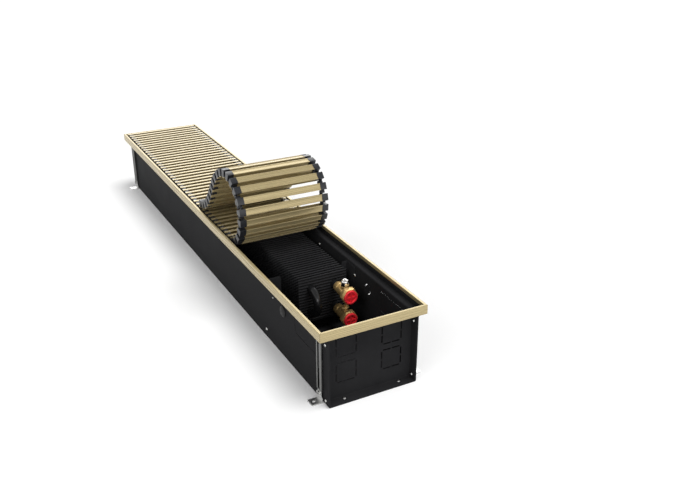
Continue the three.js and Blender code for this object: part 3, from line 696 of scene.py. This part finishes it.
def exchanger_tubes():
    near, far = EXCHANGER_Y
    form = Form()
    for x in TUBE_X:
        for z in TUBE_Z:
            start = near - 22 if x == TUBE_X[1] else near - 0.1
            tube = turned(rounded([(0, 0), (TUBE_RADIUS, 0), (TUBE_RADIUS, far - start), (0, far - start)],
                                  [0, 0.5, 0.5, 0], 3), 32)
            form.add(tube, move(x, far, z) @ FACING_NEAR)
    return form


piece("fins", exchanger_form(), LACQUER, nodes=["heat_exchanger"], smooth=50)
piece("tubes", exchanger_tubes(), LACQUERED_TUBE)


def bend_path(span, straight=4.0, steps=24):
    """A return bend's line: (distance across, distance out) points from one tube to the next."""
    radius = span / 2
    path = [(0, 0), (0, straight)]
    for k in range(1, steps):
        angle = math.pi * k / steps
        path.append((radius - radius * math.cos(angle), straight + radius * math.sin(angle)))
    return path + [(span, straight), (span, 0)]


near_bend = [(TUBE_X[0], EXCHANGER_Y[0] - CLEAR - out, TUBE_Z[0] + across)
             for across, out in bend_path(TUBE_Z[1] - TUBE_Z[0])]
piece("bend_near", Form(swept(near_bend, TUBE_RADIUS)), LACQUERED_TUBE, nodes=["return_bend_near"])
for level, z in (("lower", TUBE_Z[0]), ("upper", TUBE_Z[1])):
    far_bend = [(TUBE_X[0] + across, EXCHANGER_Y[1] + CLEAR + out, z)
                for across, out in bend_path(TUBE_X[1] - TUBE_X[0])]
    piece(f"bend_far_{level}", Form(swept(far_bend, TUBE_RADIUS)), LACQUERED_TUBE,
          nodes=[f"return_bend_far_{level}"])


def bracket(tag):
    """A plate with a seat for the exchanger, a lip under it, and a fixing flange at each wall."""
    flange_reach = 31.0
    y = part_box(f"exchanger_bracket_{tag}")[0].y / MM + flange_reach
    left, right = EXCHANGER_X[0] - 2 * CLEAR, EXCHANGER_X[1] + 2 * CLEAR
    seat = EXCHANGER_Z[0] - CLEAR
    top = LEDGE_TOP - 5
    outline = [(-PANEL_HALF, SHEET + CLEAR), (PANEL_HALF, SHEET + CLEAR), (PANEL_HALF, top), (right, top),
               (right, seat), (left, seat), (left, 62), (-PANEL_HALF + 28, 62), (-PANEL_HALF + 28, top),
               (-PANEL_HALF, top)]
    radii = [2, 2, 3, 3, 1, 1, 3, 2, 3, 3]
    plate = Form(prism(rounded(outline, radii), "y", y, y + SHEET))
    lip = Form(block((left, right), (y, y + 20), (seat - SHEET, seat)))
    flanges = []
    for side in (-1, 1):
        across = sorted((side * PANEL_HALF, side * (PANEL_HALF - SHEET)))
        edges = [(y - flange_reach, top - 36), (y + 9, top - 36), (y + 9, top), (y - flange_reach, top)]
        flanges.append(Form(prism(rounded(edges, 4), "x", *across)))
    piece(f"bracket_{tag}", plate, BLACK, nodes=[f"exchanger_bracket_{tag}"],
          joined=[lip, *flanges], bevel=0.2)


bracket("near")
bracket("far")


# ---- Water connections: each is built along +Z and then turned to face -Y ----

def facing(part, y, z):
    return Form().add(part, move(TUBE_X[1], y, z) @ FACING_NEAR)


def upright(part, z):
    return Form().add(part, move(TUBE_X[1], PORT_Y, z))


def fitting(level, z):
    """A turned body with a socket for the tube, a neck and a collar for the nut, and a side port."""
    end = 41.9
    profile = [(0, 8.3), (8.3, 8.3), (8.3, 0), (10.1, 0), (10.1, 10.5), (9.3, 11.5), (9.3, 13),
               (11, 14.2), (11, 37), (10, 38), (8, 38), (8, end), (11.5, end), (11.5, end + 2.2),
               (0, end + 2.2)]
    radii = [0, 0, 0.3, 0.4, 0.5, 0.5, 0.5, 0.8, 0.8, 0.5, 0.2, 0.2, 0.3, 0.5, 0]
    body = facing(turned(rounded(profile, radii, 3), 48), FITTING_START, z)
    port = upright(turned(rounded([(0, 0), (7.5, 0), (7.5, 14.5), (0, 14.5)], [0, 0, 0.7, 0], 3), 40), z)
    seat = upright(turned([(0, 11.5), (4.5, 11.5), (4.5, 16), (0, 16)], 32), z)
    piece(f"connection_{level}", body, BRASS, nodes=[f"fitting_{level}"],
          joined=[port], cut=seat)


def nut(level, z):
    """A hexagon with its corners turned off at both ends, and a stepped bore."""
    end = NUT_LENGTH
    hexagonal = facing(prism(ring(17, 6), "z", 0, end), NUT_START, z)
    chamfer = facing(turned([(0, -0.1), (15.2, -0.1), (17.2, 1.2), (17.2, end - 1.2), (15.2, end + 0.1),
                             (0, end + 0.1)], 64), NUT_START, z)
    bore = facing(turned([(0, -1), (8.6, -1), (8.6, 3), (12, 3), (12, end - 0.6), (12.6, end + 0.6),
                          (12.6, end + 2), (0, end + 2)], 48), NUT_START, z)
    piece(f"nut_{level}", hexagonal, BRASS, body=f"union_nut_{level}", nodes=[f"union_nut_{level}"],
          common=chamfer, cut=bore, bevel=0.25, smooth=30)


def cap(level, z):
    """A cup with a cross of ribs in its face."""
    top = 15.5
    profile = rounded([(0, 5.8), (11.7, 5.8), (11.7, 12.3), (13.5, 12.3), (13.5, top), (10, top),
                       (10, top - 2), (0, top - 2)], [0, 0.4, 0.2, 0.5, 0.9, 0.5, 0.4, 0], 4)
    body = facing(turned(profile, 56), NUT_START, z)
    long_side, short_side, depth = (-11, 11), (-1.3, 1.3), (top - 2.6, top - 0.4)
    ribs = [facing(block(long_side, short_side, depth), NUT_START, z),
            facing(block(short_side, long_side, depth), NUT_START, z)]
    piece(f"cap_{level}", body, RED, body=f"transport_cap_{level}", nodes=[f"transport_cap_{level}"],
          joined=ribs, smooth=40)


for level, z in (("lower", TUBE_Z[0]), ("upper", TUBE_Z[1])):
    fitting(level, z)
    nut(level, z)
    cap(level, z)

PORT_SEAT = 11.8
VENT_BASE, PLUG_BASE = TUBE_Z[1] + PORT_SEAT, TUBE_Z[0] + PORT_SEAT
BLEED_BASE = VENT_BASE + 12.3

vent_hex = upright(prism(ring(8.5, 6), "z", 3, 8), VENT_BASE)
vent_chamfer = upright(turned([(0, 2), (7.8, 2.9), (8.6, 3.7), (8.6, 7.3), (7.8, 8.1), (0, 8.2)], 48),
                       VENT_BASE)
dome = rounded([(0, 0), (4.2, 0), (4.2, 7.5), (7.6, 7.5), (7.6, 11.5), (6.2, 14), (3.8, 15), (0, 15)],
               [0, 0, 0, 0, 1.2, 1.2, 0.6, 0], 4)
vent_seat = upright(turned([(0, 11.9), (2.6, 11.9), (2.6, 17), (0, 17)], 28), VENT_BASE)
piece("vent_hexagon", vent_hex, NICKEL, common=vent_chamfer)
piece("vent_body", upright(turned(dome, 48), VENT_BASE), NICKEL, nodes=["air_vent"],
      cut=vent_seat)

bleed = rounded([(0, 0), (2.3, 0), (2.3, 4), (0, 4)], [0, 0.2, 0.4, 0], 3)
piece("bleed_screw_top", upright(turned(bleed, 28), BLEED_BASE), NICKEL, body="bleed_screw",
      nodes=["bleed_screw"],
      cut=upright(block((-4, 4), (-0.4, 0.4), (3, 6)), BLEED_BASE))

plug = rounded([(0, 0), (4.2, 0), (4.2, 3), (8, 3), (8, 5.6), (0, 5.6)], [0, 0.2, 0, 0.3, 0.9, 0], 4)
piece("plug", upright(turned(plug, 44), PLUG_BASE), BRASS, nodes=["blanking_plug"],
      cut=upright(prism(ring(3, 6), "z", 4.1, 8), PLUG_BASE))

# rubber grommet of the cable entry
gland = rounded([(0, -2), (10.5, -2), (10.5, -0.3), (7.7, -0.3), (7.7, 1.5), (10.5, 1.5), (10.5, 3),
                 (6.7, 5.2), (0, 6.2)], [0, 0.4, 0.3, 0.2, 0.2, 0.3, 0.8, 1.5, 0], 4)
form = Form().add(turned(gland, 44), move(-WALL_INNER, ENTRY_Y, ENTRY_Z) @ spin(-90, "Y"))
piece("grommet", form, RUBBER, nodes=["cable_grommet"])


# ---- Roll-up grille, built about the pivots' height: -Y is forward ----

SLAT_TOP_Z = HEIGHT - PIVOT_Z
LINK_WIDTH, LINK_STEP, LINK_LAP = 13.0, 2.0, 0.4


def slat_form():
    """The slat's profile: a narrow top, a web, and a wide base with a raised lip along both edges."""
    top, base, web, flange = 8.2 / 2, 13.8 / 2, 1.6 / 2, 1.5
    lip, recess = 2.3, 0.7
    bottom = 0.2 - PIVOT_HEIGHT
    under = SLAT_TOP_Z - flange
    half = [(base - lip, bottom + recess), (base - lip, bottom), (base, bottom), (base, bottom + flange),
            (web, bottom + flange), (web, under), (top, under), (top, SLAT_TOP_Z)]
    radii = [0.3, 1.1, 1.1, 0.4, 0.4, 0.5, 0.5, 0.3]
    outline = half + [(-y, z) for y, z in reversed(half)]
    section = rounded(outline, radii + radii[::-1], 3)
    return Form(prism(section, "x", -GRILLE_HALF + 0.4, GRILLE_HALF - 0.4))


def eye(direction, x, radius=3.3, root=4.4):
    """A link's eye, round the pivot half a pitch ahead (-1) or behind (1)."""
    outline = [(root, -radius), *arc(PITCH / 2, 0, radius, -math.pi / 2, math.pi, 12), (root, radius)]
    return prism([(direction * u, v) for u, v in outline], "x", *sorted(x))


def link_form(forward, behind=True):
    """The two links of one slat: a body under the slat's top, with an eye ahead and an eye behind."""
    top = SLAT_TOP_Z - 1.5
    toe, front = (-7.4, -5.0) if forward else (-4.4, -4.4)
    outline = [(toe, -PIVOT_HEIGHT), (7.4, -PIVOT_HEIGHT), (5.0, -4.5), (5.0, 0.6), (3.2, top),
               (-3.2, top), (front, 0.6), (front, -4.5)]
    body = rounded(outline, [0.5, 0.5, 1, 0.8, 0.4, 0.4, 0.8, 1], 3)
    inner, outer = GRILLE_HALF - LINK_WIDTH, GRILLE_HALF
    middle = (inner + outer) / 2
    pin = turned(rounded([(0, 0), (1.9, 0), (1.9, 1.2), (0, 1.2)], [0, 0, 0.4, 0], 3), 20)
    form = Form()
    for side in (-1, 1):
        form.add(prism(body, "x", *sorted((side * inner, side * outer))))
        if forward:
            form.add(eye(-1, (side * (inner + LINK_STEP), side * (middle - LINK_LAP / 2))))
        if behind:
            form.add(eye(1, (side * (middle + LINK_LAP / 2), side * (outer - LINK_STEP))))
            form.add(pin, move(side * (outer - LINK_STEP - 0.1), PITCH / 2, 0) @ spin(90 * side, "Y"))
    return form


def shared_mesh(name, form, material):
    obj = object_of(name, form)
    shade(obj, material)
    return mesh_of(obj)


bars, links = Form(), Form()
for i in range(FLAT_COUNT):
    where = move(0, FIRST_PIVOT_Y + PITCH * (i + 0.5), PIVOT_Z)
    bars.add(slat_form(), where)
    links.add(link_form(True, behind=i < FLAT_COUNT - 1), where)
piece("grille_bars", bars, ALONG_X, nodes=["grille_flat"])
piece("grille_links", links, LINK_PLASTIC)


def roll_places():
    """Each rolled slat's body, pivot and heading, from the hinges' places. The last one lies level."""
    pivots = [Vector(j["pos_m"]) for j in frame["joints"] if j["name"].startswith("grille_hinge_")]
    steps = [after - pivot for pivot, after in zip(pivots, pivots[1:])]
    headings = [math.atan2(step.z, -step.y) for step in steps] + [math.pi]
    return [(f"grille_slat_{i + 1:02d}", *place) for i, place in enumerate(zip(pivots, headings))]


FROM_PIVOT = move(0, -PITCH / 2, 0)
BAR = shared_mesh("rolled_bar", Form().add(slat_form(), FROM_PIVOT), ALONG_X)
LINKS = [shared_mesh("rolled_links", Form().add(link_form(forward), FROM_PIVOT), LINK_PLASTIC)
         for forward in (True, False)]
ROLL = roll_places()
for i, (body, pivot, heading) in enumerate(ROLL):
    where = Matrix.Translation(pivot) @ Matrix.Rotation(-heading, 4, "X")
    number = body[-2:]
    for kind, mesh, nodes, slot in (
        ("slat", BAR, [body], "champagne_aluminium"),
        ("links", LINKS[i == len(ROLL) - 1], [], "black_plastic"),
    ):
        obj = bpy.data.objects.new(f"rolled_{kind}_{number}", mesh)
        bpy.context.scene.collection.objects.link(obj)
        dress(obj, body, nodes, where)


# ---- Stage: floor, light and camera ----

def light_path_mix(tree, seen, unseen):
    """One shader where the camera, a gloss or a glass sees it, and another for all other rays."""
    path = tree.nodes.new("ShaderNodeLightPath")
    total = path.outputs["Is Camera Ray"]
    for name in ("Is Glossy Ray", "Is Transmission Ray"):
        add = tree.nodes.new("ShaderNodeMath")
        add.operation = "MAXIMUM"
        tree.links.new(total, add.inputs[0])
        tree.links.new(path.outputs[name], add.inputs[1])
        total = add.outputs[0]
    mix = tree.nodes.new("ShaderNodeMixShader")
    tree.links.new(total, mix.inputs["Fac"])
    tree.links.new(unseen, mix.inputs[1])
    tree.links.new(seen, mix.inputs[2])
    return mix.outputs[0]


def floor_material():
    material = bpy.data.materials.new("pale_floor")
    material.use_nodes = True
    tree = material.node_tree
    tree.nodes.clear()
    diffuse = tree.nodes.new("ShaderNodeBsdfDiffuse")
    diffuse.inputs["Color"].default_value = (0.88, 0.88, 0.88, 1)
    glow = tree.nodes.new("ShaderNodeEmission")
    glow.inputs["Strength"].default_value = 0.1
    lit = tree.nodes.new("ShaderNodeAddShader")
    tree.links.new(diffuse.outputs[0], lit.inputs[0])
    tree.links.new(glow.outputs[0], lit.inputs[1])
    output = tree.nodes.new("ShaderNodeOutputMaterial")
    tree.links.new(light_path_mix(tree, lit.outputs[0], diffuse.outputs[0]), output.inputs["Surface"])
    return material


floor = object_of("floor", Form(([(-9000, -9000, 0), (9000, -9000, 0), (9000, 9000, 0), (-9000, 9000, 0)],
                                 [[0, 1, 2, 3]])))
floor.location.z = -0.0002
floor.data.materials.append(floor_material())


def sky_gradient(tree):
    """White round the horizon and grey overhead, as in a studio with a pale backdrop."""
    coordinates = tree.nodes.new("ShaderNodeTexCoord")
    parts = tree.nodes.new("ShaderNodeSeparateXYZ")
    tree.links.new(coordinates.outputs["Generated"], parts.inputs["Vector"])
    ramp = tree.nodes.new("ShaderNodeValToRGB")
    low, high = ramp.color_ramp.elements
    low.position, low.color = 0.45, (1, 1, 1, 1)
    high.position, high.color = 0.8, (0.4, 0.4, 0.4, 1)
    tree.links.new(parts.outputs["Z"], ramp.inputs["Fac"])
    return ramp.outputs["Color"]


world = bpy.data.worlds.new("studio")
bpy.context.scene.world = world
world.use_nodes = True
tree = world.node_tree
tree.nodes.clear()
seen = tree.nodes.new("ShaderNodeBackground")
seen.inputs["Strength"].default_value = 1.0
tree.links.new(sky_gradient(tree), seen.inputs["Color"])
unseen = tree.nodes.new("ShaderNodeBackground")
unseen.inputs["Strength"].default_value = 0.34
output = tree.nodes.new("ShaderNodeOutputWorld")
tree.links.new(light_path_mix(tree, seen.outputs[0], unseen.outputs[0]), output.inputs["Surface"])


def sun(name, towards, strength, width, diffuse=True, gloss=True):
    """A lamp at a great distance: towards is the way to it from the object."""
    data = bpy.data.lights.new(name, "SUN")
    data.energy = strength
    data.angle = math.radians(width)
    light = bpy.data.objects.new(name, data)
    light.rotation_euler = Vector(towards).to_track_quat("Z", "Y").to_euler()
    light.visible_diffuse = diffuse
    light.visible_glossy = gloss
    bpy.context.scene.collection.objects.link(light)


sun("key", (0.19, -0.22, 0.95), 2.1, 30, gloss=False)
sun("back", (0.43, 0.79, 0.45), 1.15, 50, diffuse=False)
sun("front", (-0.15, -1.0, 0.2), 1.1, 40)
sun("fill", (-0.75, -0.35, 0.55), 0.8, 40, gloss=False)

CAMERA_AT = Vector((-0.59794, -1.60792, 0.82890))
AZIMUTH, ELEVATION, ROLL_ANGLE = math.radians(-28.6), math.radians(25.292), math.radians(0.233)
backward = Vector((math.sin(AZIMUTH) * math.cos(ELEVATION), -math.cos(AZIMUTH) * math.cos(ELEVATION),
                   math.sin(ELEVATION)))
level = Vector((math.cos(AZIMUTH), math.sin(AZIMUTH), 0))
upward = backward.cross(level)
right = level * math.cos(ROLL_ANGLE) + upward * math.sin(ROLL_ANGLE)
up = upward * math.cos(ROLL_ANGLE) - level * math.sin(ROLL_ANGLE)
camera_data = bpy.data.cameras.new("camera")
camera_data.sensor_width = 36
camera_data.lens = 42.31
camera = bpy.data.objects.new("camera", camera_data)
camera.matrix_world = Matrix((
    (right.x, up.x, backward.x, CAMERA_AT.x), (right.y, up.y, backward.y, CAMERA_AT.y),
    (right.z, up.z, backward.z, CAMERA_AT.z), (0, 0, 0, 1)))
bpy.context.scene.collection.objects.link(camera)
bpy.context.scene.camera = camera
bpy.context.scene.view_settings.view_transform = "Standard"
